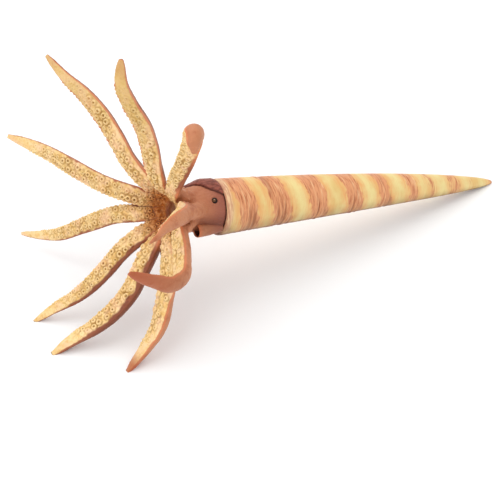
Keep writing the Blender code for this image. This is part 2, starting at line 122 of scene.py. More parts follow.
# a place on an arm's route is (forward of the crown, off the axis, aside)
ARM_ROOT = ((-10, 4.6, 0), (-5.5, 6.2, 0))
ARMS = {
    # name: (angle round the axis, width in mm, roll of the inner face in degrees, route after the root)
    "arm_1": (-19, 7.6, 25, (
        (0, 9.5, 0), (3.5, 17, 0.5), (7, 26, 3), (11, 34.5, 4.5), (16.5, 42, 5.5), (21, 50, 6.6),
        (23, 59, 9.2),
    )),
    "arm_2": (-55, 7.2, 8, (
        (0, 9, 0.4), (7.5, 20, 0.5), (11, 29.5, 1.2), (14.5, 39, 1), (20, 48, 1.2), (26, 55.5, 0.8),
        (31, 64.5, -0.3),
    )),
    "arm_3": (-91, 7.5, 12, (
        (0, 9, 0), (10.5, 18.5, -0.3), (16, 26.5, -0.7), (21.5, 34.5, 0), (27, 42.5, 0.8), (33, 50.5, 0.8),
        (39, 58, 0.2),
    )),
    "arm_4": (-127, 6.8, 0, (
        (0, 9, 0), (8, 19.5, 0.5), (12, 28.5, -1), (16.5, 37.5, -3), (21, 46.5, -5.1), (25.5, 56, -4.8),
        (30.5, 65, -3.5),
    )),
    "arm_5": (-163, 7.1, -10, (
        (0, 9, 0), (10, 18, -2.6), (15, 25, -4.9), (20.5, 32, -7.2), (26, 38.5, -8.1), (33, 44.5, -8.2),
        (39.5, 51.4, -8.5),
    )),
    "arm_6": (161, 8.0, -14, (
        (0, 9.5, 0), (7, 21, -1.2), (11.3, 29, -1.8), (17, 36, -1.3), (24, 42, 0), (32, 47.5, 3),
        (39.5, 53, 5),
    )),
    "arm_7": (125, 8.0, -13, (
        (-1, 9.5, 0), (1, 23, 2.6), (3.5, 32, 6), (6.5, 40.5, 9.5), (11.8, 47, 14), (19, 53.8, 18.8),
    )),
    "arm_8": (89, 8.4, -12, (
        (-2.5, 11, 0), (1, 22, 1.8), (3.4, 28, 3.2), (6.4, 34, 4.2), (12.7, 37.8, 4.3), (19, 38, 2),
        (25, 39, -1), (31, 39.5, -4.5),
    )),
    "arm_9": (53, 8.0, 0, (
        (-4.5, 12, 0.6), (-1, 17, 1.6), (3.5, 21.5, 2.9), (9, 25.5, 4.8), (13.5, 28.5, 6.5),
        (17.5, 31, 8.6), (21.5, 32.8, 10.2),
    )),
    "arm_10": (17, 7.6, 48, (
        (-2, 9.5, -0.5), (-1.2, 17.5, -1), (-1, 28.5, -1), (-0.5, 34, -1), (0.1, 39, -1), (1, 42.5, -1),
        (2.5, 46, 0.5), (4, 47.5, 2.8), (4.7, 47, 4.8), (4.5, 44.8, 6.2), (4, 42, 7),
    )),
}
# each arm's width along its length, as (share of the length, share of the full width)
TAPERS = {
    "arm_1": ((0, 0.9), (0.25, 0.98), (0.55, 0.96), (0.68, 0.9), (0.8, 0.8), (0.9, 0.62), (0.96, 0.46),
              (1, 0.26)),
    "arm_2": ((0, 0.9), (0.25, 1.04), (0.6, 1.03), (0.7, 0.95), (0.8, 0.77), (0.9, 0.56), (0.96, 0.42),
              (1, 0.24)),
    "arm_3": ((0, 0.88), (0.25, 0.95), (0.4, 0.89), (0.6, 0.88), (0.7, 0.77), (0.82, 0.67), (0.92, 0.5),
              (1, 0.22)),
    "arm_4": ((0, 0.9), (0.25, 1), (0.5, 0.97), (0.66, 0.81), (0.78, 0.65), (0.89, 0.48), (0.96, 0.34),
              (1, 0.18)),
    "arm_5": ((0, 0.9), (0.25, 1), (0.5, 0.97), (0.62, 0.9), (0.8, 0.65), (0.92, 0.45), (1, 0.2)),
    "arm_6": ((0, 0.9), (0.25, 1), (0.5, 1), (0.66, 0.93), (0.78, 0.78), (0.86, 0.68), (0.94, 0.5),
              (1, 0.25)),
    "arm_7": ((0, 0.9), (0.25, 1), (0.62, 1.01), (0.75, 0.85), (0.85, 0.68), (0.94, 0.5), (1, 0.24)),
    "arm_8": ((0, 0.9), (0.25, 1), (0.5, 1), (0.62, 0.92), (0.75, 0.72), (0.88, 0.54), (0.95, 0.4), (1, 0.2)),
    "arm_9": ((0, 0.85), (0.25, 0.95), (0.4, 0.92), (0.55, 0.74), (0.75, 0.47), (0.88, 0.3), (1, 0.12)),
    "arm_10": ((0, 0.85), (0.4, 0.85), (0.6, 0.91), (0.72, 0.99), (0.84, 1), (0.93, 0.72), (1, 0.25)),
}
# in widths: the depth of an arm's back, the rise of its inner face's middle, that face's height, and the
# middle and half depth of the whole section
ARM_BACK, ARM_CROWNING, ARM_FACE = 0.56, 0.08, 0.22
SECTION_MIDDLE, SECTION_DEPTH = -0.06, 0.32
ARM_STATIONS, ARM_POINTS = 84, 28
ROLL_SHARE = 0.4  # the inner face is fully rolled at this share of the length
FRAME_STEPS = 240
VOXEL = 0.26
# the fillets behind the arms' roots: where each starts, behind the crown and off the axis, its radius
# there, and how far along the arm it reaches
WEBS = {"arm_9": (15, 4.8, 3.6, 17), "arm_8": (12.5, 4.6, 2.6, 12)}
USUAL_WEB = (13, 3.8, 3.6, 11)
WEB_RINGS, WEB_SIDES = 12, 20
ARM_STARTS = 13.5  # along an arm, where its piece starts and the head's ends

lay = Matrix.Translation(TIP) @ Euler((0, -PITCH, math.pi)).to_matrix().to_4x4()
LAY = np.array(lay)


def in_part(points):
    """Points of the figure's frame in the part's frame."""
    return points @ LAY[:3, :3].T + LAY[:3, 3]


def in_figure(points):
    """The other way round."""
    return (points - LAY[:3, 3]) @ LAY[:3, :3]


def smoothstep(value, low, high):
    share = np.clip((value - low) / (high - low), 0, 1)
    return share * share * (3 - 2 * share)


def noise(points, seed):
    """Smooth value noise from 0 to 1, one cell a unit, from an integer hash of the cells' corners."""
    cell = np.floor(points).astype(np.int64)
    part = points - cell
    part = part * part * (3 - 2 * part)
    total = np.zeros(len(points))
    for corner in range(8):
        step = np.array([corner & 1, corner >> 1 & 1, corner >> 2 & 1])
        x, y, z = (cell + step).T
        key = (x * 374761393 + y * 668265263 + z * 2147483647 + seed * 144665) & 0xFFFFFFFF
        key = (key ^ key >> 13) * 1274126177 & 0xFFFFFFFF
        key = (key ^ key >> 16) & 0xFFFF
        weight = np.prod(np.where(step, part, 1 - part), axis=1)
        total += weight * key / 0xFFFF
    return total


def layered(points, seed, layers):
    """Noise with finer and weaker noise on top."""
    total, size, most = 0, 1.0, 0
    for layer in range(layers):
        total = total + noise(points * 2**layer, seed + layer) * size
        most += size
        size *= 0.5
    return total / most


# --- meshes

def make_object(name, points, faces, smooth=True):
    """A mesh object of points in the part's frame."""
    mesh = bpy.data.meshes.new(name)
    mesh.from_pydata((points * MM).tolist(), [], faces)
    if smooth:
        mesh.shade_smooth()
    item = bpy.data.objects.new(name, mesh)
    bpy.context.scene.collection.objects.link(item)
    return item


def store(item, **values):
    """Values for each point of the mesh, which its material reads by name."""
    for name, value in values.items():
        flat = np.ascontiguousarray(value, np.float32)
        kind, key = ("FLOAT_VECTOR", "vector") if flat.ndim == 2 else ("FLOAT", "value")
        item.data.attributes.new(name, kind, "POINT").data.foreach_set(key, flat.ravel())


def tube(rings):
    """Points and faces of a closed tube of rings."""
    rings = np.asarray(rings, float)
    rows, columns, _ = rings.shape
    points = np.vstack([rings.reshape(-1, 3), rings[0].mean(0), rings[-1].mean(0)])
    faces = []
    for i in range(rows - 1):
        here, there = i * columns, (i + 1) * columns
        for j in range(columns):
            k = (j + 1) % columns
            faces.append((here + j, here + k, there + k, there + j))
    first, last = rows * columns, rows * columns + 1
    for j in range(columns):
        k = (j + 1) % columns
        faces.append((k, j, first))
        faces.append(((rows - 1) * columns + j, (rows - 1) * columns + k, last))
    return points, faces


def around(sides):
    """Angles at even steps."""
    return np.arange(sides) * math.tau / sides


def arc(forward, radius, angles):
    """Points round the figure's axis."""
    return np.stack([np.full(len(angles), forward), radius * np.sin(angles), radius * np.cos(angles)], 1)


def turned(outline, sides):
    """Rings of points round the figure's axis for an outline of (along, radius)."""
    return [arc(along, radius, around(sides)) for along, radius in outline]


def flat_ring(sides, radius, height):
    """A ring of points round Z."""
    angles = around(sides)
    return np.stack([radius * np.cos(angles), radius * np.sin(angles), np.full(sides, height)], 1)


def turn_to(way):
    """The turn that points Z this way."""
    return np.array(Vector(way).to_track_quat("Z", "Y").to_matrix())


def fused(parts):
    """One skin over closed meshes that overlap, as points and quads."""
    points, faces, start = [], [], 0
    for part_points, part_faces in parts:
        points.append(part_points)
        faces += [tuple(start + i for i in face) for face in part_faces]
        start += len(part_points)
    item = make_object("fused", np.vstack(points), faces, smooth=False)
    remesh = item.modifiers.new("skin", "REMESH")
    remesh.mode = "VOXEL"
    remesh.voxel_size = VOXEL * MM
    evaluated = item.evaluated_get(bpy.context.evaluated_depsgraph_get())
    mesh = evaluated.to_mesh()
    found = np.empty(len(mesh.vertices) * 3, np.float32)
    mesh.vertices.foreach_get("co", found)
    quads = np.empty(len(mesh.loops), np.int32)
    mesh.loops.foreach_get("vertex_index", quads)
    evaluated.to_mesh_clear()
    bpy.data.objects.remove(item)
    return found.reshape(-1, 3).astype(float) / MM, quads.reshape(-1, 4)


def edges_of(quads):
    """Each edge once."""
    ends = np.concatenate([quads[:, [i, (i + 1) % 4]] for i in range(4)])
    return np.unique(np.sort(ends, axis=1), axis=0)


def neighbour_mean(values, edges):
    """The mean of each point's neighbours, for one value or three a point."""
    count = len(values)
    a, b = edges.T
    degree = np.bincount(a, minlength=count) + np.bincount(b, minlength=count)
    columns = values.reshape(count, -1).T
    sums = [
        np.bincount(a, weights=column[b], minlength=count)
        + np.bincount(b, weights=column[a], minlength=count)
        for column in columns
    ]
    return (np.stack(sums, 1) / np.maximum(degree, 1)[:, None]).reshape(values.shape)


def normals_of(points, quads):
    across = np.cross(points[quads[:, 2]] - points[quads[:, 0]], points[quads[:, 3]] - points[quads[:, 1]])
    total = np.zeros_like(points)
    for axis in range(3):
        for corner in range(4):
            total[:, axis] += np.bincount(quads[:, corner], weights=across[:, axis], minlength=len(points))
    return total / np.maximum(np.linalg.norm(total, axis=1), 1e-9)[:, None]


# --- arms as tubes

def smooth_curve(points, parameter):
    """A place on the Catmull-Rom curve through the points."""
    index = min(int(parameter), len(points) - 2)
    share = parameter - index
    before = points[index - 1] if index else 2 * points[0] - points[1]
    start, end = points[index], points[index + 1]
    after = points[index + 2] if index + 2 < len(points) else 2 * end - start
    return (
        start
        + (end - before) * (share / 2)
        + (2 * before - 5 * start + 4 * end - after) * (share**2 / 2)
        + (3 * start - before - 3 * end + after) * (share**3 / 2)
    )


class Arm:
    """An arm's frames at even steps along it, in the part's frame."""

    def __init__(self, name):
        angle, self.width, roll, route = ARMS[name]
        self.name = name
        points = np.array([(forward, aside, outward) for forward, outward, aside in ARM_ROOT + route], float)
        steps = (len(points) - 1) * 40
        dense = np.array([smooth_curve(points, i / 40) for i in range(steps + 1)])
        lengths = np.concatenate([[0], np.cumsum(np.linalg.norm(np.diff(dense, axis=0), axis=1))])
        self.length = lengths[-1]
        self.along = np.linspace(0, self.length, FRAME_STEPS + 1)
        place = np.stack([np.interp(self.along, lengths, dense[:, i]) for i in range(3)], 1)
        way = np.zeros_like(place)
        way[1:-1] = place[2:] - place[:-2]
        way[0], way[-1] = place[1] - place[0], place[-1] - place[-2]
        way /= np.linalg.norm(way, axis=1)[:, None]
        side = np.zeros_like(place)
        carried = Vector((0, 1, 0))
        for i in range(FRAME_STEPS + 1):
            ahead = Vector(way[i])
            carried = (carried - ahead * carried.dot(ahead)).normalized()
            turned_by = math.radians(roll) * min(i / FRAME_STEPS / ROLL_SHARE, 1)
            side[i] = Matrix.Rotation(turned_by, 3, ahead) @ carried
        inner = np.cross(side, way)
        # the roots keep to their own tenths of the crown
        room = 2 * (place[:, 2] - 0.8) * math.tan(math.pi / ARM_COUNT) - 0.1
        share = self.along / self.length
        self.widths = np.minimum(np.interp(share, *zip(*TAPERS[name])) * self.width, np.maximum(room, 1))
        turn = np.array(Matrix.Rotation(-math.radians(angle), 3, "X"))
        self.places = in_part(place @ turn.T + np.array([CROWN_ALONG, 0, 0]))
        self.ways, self.sides, self.inners = (
            vectors @ turn.T @ LAY[:3, :3].T for vectors in (way, side, inner)
        )

    def rings(self):
        """Sections with a nearly flat inner face and a round back."""
        angles = np.linspace(0, math.pi, ARM_POINTS // 2 + 1)
        back = np.stack([np.cos(angles) / 2, -ARM_BACK * np.sin(angles) ** 0.95], 1)
        spans = np.linspace(-0.5, 0.5, ARM_POINTS // 2 + 1)[1:-1]
        face = np.stack([spans, ARM_CROWNING * (1 - (2 * spans) ** 2)], 1)
        rings = []
        for i in range(ARM_STATIONS + 1):
            k = round(FRAME_STEPS * i / ARM_STATIONS)
            width = self.widths[k]
            flat = np.vstack([back, face]) * width
            flat[:, 1] += ARM_FACE * width
            rings.append(self.places[k] + flat[:, :1] * self.sides[k] + flat[:, 1:] * self.inners[k])
        return rings

    def locate(self, points):
        """Where points lie: along, across in half widths, height in widths, and away in sections."""
        coarse = self.places[::4]
        squared = (points**2).sum(1)[:, None] - 2 * points @ coarse.T + (coarse**2).sum(1)
        step = np.argmin(squared, axis=1) * 4
        for _ in range(3):
            ahead = ((points - self.places[step]) * self.ways[step]).sum(1)
            step = np.clip(np.round(step + ahead / self.length * FRAME_STEPS), 0, FRAME_STEPS).astype(int)
        offset = points - self.places[step]
        ahead = (offset * self.ways[step]).sum(1)
        width = self.widths[step]
        across = (offset * self.sides[step]).sum(1) / (width / 2)
        height = (offset * self.inners[step]).sum(1) / width
        depth = (height - SECTION_MIDDLE) / SECTION_DEPTH
        distance = np.sqrt(across**2 + depth**2 + (ahead / (width / 2)) ** 2)
        return self.along[step] + ahead, across, height, distance

    def web(self):
        """A tapered tube in the corner between the head and the arm's back."""
        back, out, radius, reach = WEBS.get(self.name, USUAL_WEB)
        k = round(reach / self.length * FRAME_STEPS)
        angle = math.radians(ARMS[self.name][0])
        start = in_part(np.array([[CROWN_ALONG - back, out * math.sin(angle), out * math.cos(angle)]]))[0]
        end = self.places[k] - 0.1 * self.widths[k] * self.inners[k]
        way = (end - start) / np.linalg.norm(end - start)
        circle = flat_ring(WEB_SIDES, 1, 0) @ turn_to(way).T
        return [
            start + (end - start) * part + circle * (radius + (0.3 * self.widths[k] - radius) * part)
            for part in np.linspace(0, 1, WEB_RINGS)
        ]


arms = {name: Arm(name) for name in ARMS}
head_outline = [(SHELL_LENGTH + along, radius) for along, radius in HEAD_OUTLINE]
head_points, head_faces = tube(turned(head_outline, HEAD_SIDES))
skin_parts = [(in_part(head_points), head_faces)]
skin_parts += [tube(rings) for arm in arms.values() for rings in (arm.rings(), arm.web())]
points, quads = fused(skin_parts)
count = len(points)
edges = edges_of(quads)

located = [arm.locate(points) for arm in arms.values()]
from_arms = np.stack([found[-1] for found in located])
nearest = np.argmin(from_arms, axis=0)
closest = np.sort(from_arms, axis=0)[:2]
along, across, height = (np.choose(nearest, [found[i] for found in located]) for i in range(3))


def by_arm(table, usually=0.0):
    """What a table gives for the arm nearest to each point."""
    return np.choose(nearest, [table.get(name, usually) for name in arms])


def on_arm(*names):
    return np.isin(nearest, [list(arms).index(name) for name in names])


# the voxels' steps are smoothed out, and the arms' roots are blended into the head
SMOOTHING_PASSES, SHRINK, SWELL = 6, 0.6, 0.62
ROOT_PASSES, ROOT_PULL = 14, 0.5
near_root = 1 - smoothstep(along, 12, 20)
for pull in (SHRINK, -SWELL) * SMOOTHING_PASSES:
    points += (neighbour_mean(points, edges) - points) * pull
for _ in range(ROOT_PASSES):
    points += (neighbour_mean(points, edges) - points) * (ROOT_PULL * near_root)[:, None]
normals = normals_of(points, quads)

# --- the skin's relief: suckers, warts and knobbly edges, all raised along the normals
RING_AT, RING_WIDTH, PIT_WIDTH, PIT_DEPTH = 0.66, 0.32, 0.36, 0.55  # of a sucker, in its radii
rng = np.random.default_rng(11)
raised = np.zeros(count)
pits = np.zeros(count)
# the suckers' raised rings, which the paint lightens as a painted highlight
ring_highlight = np.zeros(count)


def bump(chosen, centre, radius, rise):
    """Raises a round wart on the chosen points."""
    rho = np.linalg.norm(points[chosen] - centre, axis=1) / radius
    raised[chosen] = np.maximum(raised[chosen], rise * np.exp(-(rho**2)))


def sucker(chosen, centre, radius, rise, pit_wash_and_shade):
    """Raises a ring round a pit, which holds an amount of brown paint, partly painted shade."""
    rho = np.linalg.norm(points[chosen] - centre, axis=1) / radius
    ring = np.exp(-(((rho - RING_AT) / RING_WIDTH) ** 2))
    pit = np.exp(-((rho / PIT_WIDTH) ** 2))
    raised[chosen] += rise * (ring - PIT_DEPTH * pit)
    ring_highlight[chosen] = np.maximum(ring_highlight[chosen], ring)
    pits[chosen] = np.maximum(pits[chosen], pit * pit_wash_and_shade)


# how far the line between the two colours leans, as (share of the length, amount): a positive amount takes
# the back's colour onto the inner face where across is positive, and the face's round its other edge
PAINT_TILT = {
    "arm_1": ((0.2, 0.01), (0.35, -0.04), (1, -0.04)),
    "arm_2": ((0.2, 0.01), (0.4, -0.05), (1, -0.05)),
    "arm_3": ((0, 0.03), (1, 0.02)),
    "arm_4": ((0, -0.05), (1, -0.06)),
    "arm_5": ((0, -0.07), (0.35, -0.13), (0.6, -0.13), (0.85, -0.05), (1, -0.04)),
    "arm_6": ((0, -0.08), (0.4, -0.12), (0.62, -0.11), (0.85, -0.04), (1, -0.03)),
    "arm_7": ((0.42, 0.4), (0.56, 0), (1, 0)),
    "arm_8": ((0, 0), (1, 0)),
    "arm_9": ((0.42, 0.3), (0.64, 0.04), (1, 0)),
    "arm_10": ((0, 0.13), (0.5, 0.13), (0.66, 0.05), (1, 0.05)),
}
# the share of an arm's length from which its tip is smooth
SMOOTH_FROM = {"arm_7": 0.84, "arm_8": 0.58, "arm_9": 0.84, "arm_10": 0.74}
SMOOTH_USUALLY = 0.86
FIRST_SUCKER, FIRST_WART = 6.5, 11.0  # along an arm
# the knobbly edge, by the sign of across, which is -1 for the other arms
KNOBBLY_EDGE = {"arm_4": 1, "arm_5": 1, "arm_6": 1, "arm_7": 1, "arm_8": 1}
KNOBS_FROM = {"arm_9": 8.0}
KNOBS_USUALLY_FROM = 13.0
# the suckers' distance from one to the next and their radius, as shares of the width
SUCKERS = {"arm_4": (0.19, 0.14), "arm_5": (0.19, 0.14), "arm_6": (0.21, 0.14), "arm_7": (0.18, 0.12),
           "arm_8": (0.18, 0.12)}
USUAL_SUCKERS = (0.18, 0.135)
WARTS = ((0.045, 0.08), (0.045, 0.08), (0.07, 0.11))  # the least and most radius, in widths
WART_SPACING = 0.13


def face_height(row):
    """How high the inner face is at a share of the width to the side, in widths."""
    return ARM_FACE + ARM_CROWNING * (1 - (2 * row) ** 2)


for name, arm in arms.items():
    own = np.flatnonzero(on_arm(name))
    order = own[np.argsort(along[own])]
    sorted_along = along[order]
    last = arm.length * SMOOTH_FROM.get(name, SMOOTH_USUALLY)
    tilts = PAINT_TILT[name]

    def near(at, reach):
        low, high = np.searchsorted(sorted_along, (at - reach, at + reach))
        return order[low:high]

    def frame_near(at):
        k = min(round(at / arm.length * FRAME_STEPS), FRAME_STEPS)
        tilt = np.interp(at / arm.length, *zip(*tilts))
        return arm.places[k], arm.sides[k], arm.inners[k], arm.widths[k], tilt

    spread, size = SUCKERS.get(name, USUAL_SUCKERS)
    at, side = FIRST_SUCKER, 1
    while at < last:
        place, aside, inner, width, tilt = frame_near(at)
        fade = 1 - 0.75 * smoothstep(at / arm.length, last / arm.length - 0.2, last / arm.length)
        row = side * rng.uniform(0.12, 0.3) - 0.9 * np.clip(tilt, -0.1, 0.1)
        radius = width * size * rng.uniform(0.7, 1.2)
        spot = place + (aside * row + inner * face_height(row)) * width
        sucker(near(at, 4), spot, radius, 0.85 * radius * fade, rng.uniform(0, 0.8))
        at += width * spread * rng.uniform(0.72, 1.28)
        side = -side
    at = FIRST_WART
    while at < last:
        place, aside, inner, width, tilt = frame_near(at)
        for least, most in WARTS:
            row = rng.uniform(-0.46, 0.46) - 0.5 * np.clip(tilt, -0.1, 0.1)
            radius = width * rng.uniform(least, most)
            spot = place + (aside * row + inner * face_height(row)) * width
            bump(near(at, 3), spot, radius, rng.uniform(2.2, 4.4) * least)
        at += width * WART_SPACING
    edge = KNOBBLY_EDGE.get(name, -1)
    at = KNOBS_FROM.get(name, KNOBS_USUALLY_FROM)
    while at < last:
        place, aside, inner, width, tilt = frame_near(at)
        at += width * rng.uniform(0.2, 0.3)
        drop = 0.02 + 0.3 * max(-edge * tilt, 0)
        spot = place + (aside * edge * 0.5 + inner * (ARM_FACE - drop)) * width
        bump(near(at, 5), spot, width * rng.uniform(0.07, 0.12), rng.uniform(0.25, 0.55))

# --- the head's own relief
CREASE_DEPTH, CREASE_WIDTH = 0.2, 0.4  # beside the hood's edge
CLEFT_DEPTH, CLEFT_WIDTH = 0.5, 0.16  # between the roots of two arms
LID_RISE = 0.26
HEAD_GRAIN, ARM_GRAIN = 0.34, 0.2
CROWN_WARTS, CROWN_FROM = 190, 15.5
LEVEL_PASSES, CAVITY_DEPTH = 10, 0.14
inside = in_figure(points)
fore = inside[:, 0] - SHELL_LENGTH
turn = np.arctan2(inside[:, 1], inside[:, 2])
from_back = np.abs((turn - DORSAL + math.pi) % math.tau - math.pi)
is_head = along < ARM_STARTS


def round_axis(forward, radius, angle):
    """A point of the figure's frame."""
    return np.array([forward, radius * math.sin(angle), radius * math.cos(angle)])


def hood_reach(forward):
    return np.radians(np.interp(forward, *zip(*HOOD_REACH)))


def head_radius(forward):
    return np.interp(forward, *zip(*HEAD_OUTLINE))


edge_along = np.linspace(HOOD_START, HOOD_END, 160)
edge_line = np.stack([edge_along, hood_reach(edge_along) * HEAD_RADIUS], 1)
front = np.linspace(1, 0, 14)[1:, None]
edge_line = np.vstack([edge_line, np.hstack([np.full_like(front, HOOD_END), front * edge_line[-1, 1]])])
to_edge = np.full(count, 99.0)
headed = np.flatnonzero(is_head & (fore > 0) & (fore < 20))
flat = np.stack([fore[headed], from_back[headed] * HEAD_RADIUS], 1)
to_edge[headed] = np.sqrt(((flat[:, None] - edge_line[None, ::3]) ** 2).sum(2)).min(1)
crease = np.exp(-((to_edge / CREASE_WIDTH) ** 2))
raised -= CREASE_DEPTH * crease
eye_places = {
    name: in_part(round_axis(SHELL_LENGTH + EYE_ALONG, EYE_OUT, DORSAL + side * math.pi / 2)[None])[0]
    for name, side in (("eye_left", 1), ("eye_right", -1))
}
# a groove between the roots of two arms, which the paint also darkens as painted shade
shaded_cleft = np.exp(-(((closest[1] - closest[0]) / CLEFT_WIDTH) ** 2)) * (1 - smoothstep(along, 15, 24))
shaded_cleft *= smoothstep(fore, 9, 14) * (closest[0] < 1.6)
raised -= CLEFT_DEPTH * shaded_cleft
lids = np.zeros(count)
for place in eye_places.values():
    away = np.linalg.norm(points - place, axis=1)
    folds = sum(part * np.exp(-(((away - out) / width) ** 2)) for out, width, part in LIDS)
    lids = np.maximum(lids, folds)
raised += LID_RISE * lids
skin_grain = layered(inside * np.array([0.7, 1.9, 1.9]), 5, 3) - 0.5
arm_grain = layered(points * 1.1, 8, 3) - 0.5
raised += np.where(is_head, HEAD_GRAIN * skin_grain, ARM_GRAIN * arm_grain) * smoothstep(fore, 0.8, 3)
whorl = np.flatnonzero(is_head & (fore > CROWN_FROM))
for _ in range(CROWN_WARTS):
    spot = points[rng.choice(whorl)]
    bump(whorl, spot, rng.uniform(0.45, 0.85), rng.uniform(0.25, 0.55))

# how sunken each point is; the paint darkens the recesses, partly as brown wash and partly as painted shade
level = raised.copy()
for _ in range(LEVEL_PASSES):
    level = neighbour_mean(level, edges)
cavity = np.clip((level - raised) / CAVITY_DEPTH, 0, 1)
points = points + normals * raised[:, None]
low, high = (np.array(corner) / MM for corner in cad_box)
points = np.clip(points, np.maximum(low, [-1e3, -1e3, 0]), high)
normals = normals_of(points, quads)

# --- the skin's paint, as values that its material mixes
# how strong each is on an arm: dark tip, painted shade on the back, rust towards the mouth, aged cream
TIPPED = {"arm_1": 0.35, "arm_2": 0.3, "arm_7": 1, "arm_8": 1, "arm_9": 0.3}
TIPPED_USUALLY = 0.12
BACK_SHADE_BY_ARM = {"arm_3": 0.5, "arm_4": 0.75, "arm_5": 1, "arm_6": 1, "arm_10": 0.8}
STAINED = {"arm_1": 0.45, "arm_7": 0.8, "arm_8": 0.6, "arm_9": 0.3, "arm_10": 0.35}
OLD = {"arm_1": 0.6, "arm_2": 0.4}
share = along / by_arm({name: arm.length for name, arm in arms.items()})
wander = (layered(points * 0.55, 20, 2) - 0.5) * 0.09
face_edge = ARM_FACE - 0.02 + wander
tilted = by_arm({name: np.interp(share, *zip(*tilts)) for name, tilts in PAINT_TILT.items()})
leaning = np.where(on_arm("arm_7"), np.minimum(across * tilted, 0), across * tilted)
later = np.where(on_arm("arm_9"), 2.5, 0)
face_edge += leaning * smoothstep(along, 9.5 + later, 13.5 + later) * (1 - smoothstep(closest[0], 1.25, 1.6))
inner_face = smoothstep(height, face_edge - 0.025, face_edge + 0.025)
beside = np.exp(-(((height - face_edge + 0.07) / 0.07) ** 2)) * (1 - inner_face)
ends = by_arm(SMOOTH_FROM, SMOOTH_USUALLY)
tips = smoothstep(share + 0.04 * (layered(points * 0.4, 31, 2) - 0.5), ends, 0.96)
crown = in_part(np.array([[CROWN_ALONG - 4, 0, 0]]))[0]
from_mouth = np.linalg.norm(points - crown, axis=1) + 5 * (layered(points * 0.3, 41, 3) - 0.5)
stain = 1 - smoothstep(from_mouth, 6, 17)
mouth = 1 - smoothstep(from_mouth, 2.5, 7)
stain *= by_arm(STAINED, 1)
tips *= by_arm(TIPPED, TIPPED_USUALLY)
# painted shade on the arms' backs and lower edges, and under the hook of arm_8
back_shade = by_arm(BACK_SHADE_BY_ARM) * (1 - 0.3 * smoothstep(share, 0.65, 0.92))
low_back = np.maximum(back_shade, 0.8 * smoothstep(-height, -0.04, 0.1))
back_shade = np.where(on_arm("arm_1", "arm_2", "arm_3"), low_back, back_shade)
back_shade = np.where(on_arm("arm_8"), 0.3 * smoothstep(share, 0.5, 0.66), back_shade)
back_shade = np.where(on_arm("arm_10"), back_shade * (1 - smoothstep(share, 0.45, 0.62)), back_shade)
back_shade *= smoothstep(along, 12, 18)
# the head turns mauve towards the shell's lip, partly its own paint and partly painted shade
rear = np.where(is_head, 1 - smoothstep(fore, 2.5, 10), 0)
# painted shade on the lower side of the head's rear half
underside_shade = np.where(is_head, smoothstep(np.degrees(turn), 58, 98) * (1 - smoothstep(fore, 9, 17)), 0)
neck = np.where(is_head, 1 - smoothstep(fore, 8, 17), 0)
# a dark ring of painted shade, with some dark wash, in the gap where the head leaves the shell's lip
collar = np.where(is_head, 1 - smoothstep(fore, 1.3, 2.1), 0)
# the crease beside the hood's edge is darkened as painted shade too
values = {
    "face": inner_face, "beside": beside, "tip": tips, "stain": stain, "cavity": cavity, "pit": pits,
    "ring": ring_highlight, "rear": rear, "collar": np.maximum(collar, crease * 0.7),
    "mouth": mouth, "shaded_cleft": shaded_cleft, "low": underside_shade, "neck": neck, "back_shade": back_shade,
    "aged": by_arm(OLD) * smoothstep(share, 0.4, 0.8),
    "throat": (1 - inner_face) * smoothstep(fore, 17, 21) * (1 - smoothstep(from_mouth, 8, 14)),
}


# --- materials

def linear(red, green, blue):
    """A colour given as it looks, from 0 to 255."""
    shares = (c / 255 for c in (red, green, blue))
    return (*(c / 12.92 if c < 0.04 else ((c + 0.055) / 1.055) ** 2.4 for c in shares), 1)


